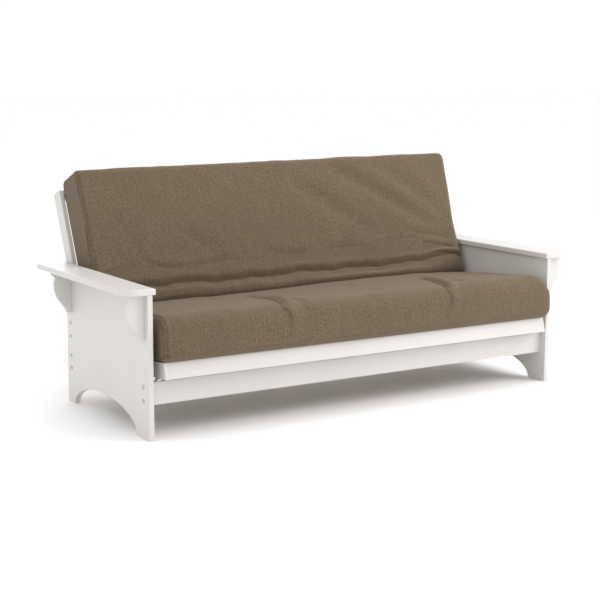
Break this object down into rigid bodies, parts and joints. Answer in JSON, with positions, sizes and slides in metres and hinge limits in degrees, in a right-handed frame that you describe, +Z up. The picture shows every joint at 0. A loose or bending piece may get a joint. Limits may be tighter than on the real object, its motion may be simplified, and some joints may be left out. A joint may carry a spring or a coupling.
{
  "type": "futon sofa bed",
  "caption": "Wooden-armed futon sofa with a folding slatted deck and a thick fabric mattress that slides forward and lies flat as a bed.",
  "frame": {"origin": "on the floor under the middle of the whole sofa in the sofa position", "axes": "+X along the sofa to the sitter's left, +Y to the back, +Z up"},
  "size_m": [2.186, 1.0456, 0.972],
  "materials": {
    "white_painted_wood": "satin paint",
    "bare_hardwood": "sanded",
    "mattress_cover": "woven twill",
    "satin_nickel": "satin nickel plated",
    "zinc_steel": "zinc plated",
    "insert_brass": "machined",
    "nylon": "moulded"
  },
  "bodies": {
    "frame": {"arm_bolts": "satin_nickel", "arm_dowels": "bare_hardwood", "barrel_nuts": "zinc_steel", "front_glide_blocks": "nylon", "front_stringer": "white_painted_wood", "left_arm_board": "white_painted_wood", "left_front_corbel": "white_painted_wood", "left_rear_corbel": "white_painted_wood", "left_side_panel": "white_painted_wood", "left_track_board": "bare_hardwood", "rear_glide_blocks": "nylon", "rear_stringer": "white_painted_wood", "right_arm_board": "white_painted_wood", "right_front_corbel": "white_painted_wood", "right_rear_corbel": "white_painted_wood", "right_side_panel": "white_painted_wood", "right_track_board": "bare_hardwood", "threaded_inserts": "insert_brass", "track_screws": "zinc_steel"},
    "hinge_line": {"pivot_bolts": "zinc_steel", "pivot_nuts": "zinc_steel", "pivot_washers": "zinc_steel"},
    "track_wheels": {"track_rollers": "nylon"},
    "seat_deck": {"seat_centre_rail": "white_painted_wood", "seat_deck_screws": "zinc_steel", "seat_front_ledger": "bare_hardwood", "seat_front_rail": "white_painted_wood", "seat_left_rail": "white_painted_wood", "seat_mattress": "mattress_cover", "seat_rear_ledger": "bare_hardwood", "seat_rear_rail": "white_painted_wood", "seat_right_rail": "white_painted_wood", "seat_slat_1": "bare_hardwood", "seat_slat_2": "bare_hardwood", "seat_slat_3": "bare_hardwood", "seat_slat_4": "bare_hardwood", "seat_slat_5": "bare_hardwood", "seat_slat_6": "bare_hardwood", "seat_slat_7": "bare_hardwood", "seat_slat_8": "bare_hardwood"},
    "back_deck": {"back_bottom_ledger": "bare_hardwood", "back_bottom_rail": "white_painted_wood", "back_centre_rail": "white_painted_wood", "back_deck_screws": "zinc_steel", "back_left_rail": "white_painted_wood", "back_mattress": "mattress_cover", "back_right_rail": "white_painted_wood", "back_slat_1": "bare_hardwood", "back_slat_2": "bare_hardwood", "back_slat_3": "bare_hardwood", "back_slat_4": "bare_hardwood", "back_slat_5": "bare_hardwood", "back_slat_6": "bare_hardwood", "back_slat_7": "bare_hardwood", "back_slat_8": "bare_hardwood", "back_stop_pins": "satin_nickel", "back_top_ledger": "bare_hardwood", "back_top_rail": "white_painted_wood"}
  },
  "joints": [
    {"name": "slide_out", "type": "slide", "parent": "frame", "child": "hinge_line", "axis": [0, -0.9932, 0.1163], "range_m": [0, 0.4128]},
    {"name": "seat_level", "type": "hinge", "parent": "hinge_line", "child": "seat_deck", "pos_m": [0, 0.2157, 0.214], "axis": [1, 0, 0], "range_deg": [0, 4.5]},
    {"name": "back_fold", "type": "hinge", "parent": "seat_deck", "child": "back_deck", "pos_m": [0, 0.2157, 0.214], "axis": [1, 0, 0], "range_deg": [-71.5, 0]},
    {"name": "wheel_roll", "type": "hinge", "parent": "hinge_line", "child": "track_wheels", "pos_m": [0, 0.2157, 0.214], "axis": [1, 0, 0], "range_deg": [0, 1580]}
  ],
  "couplings": [
    {"joint": "seat_level", "follows": "slide_out", "rad_per_m": 0.19025},
    {"joint": "back_fold", "follows": "slide_out", "rad_per_m": -3.023},
    {"joint": "wheel_roll", "follows": "slide_out", "rad_per_m": 66.667}
  ]
}
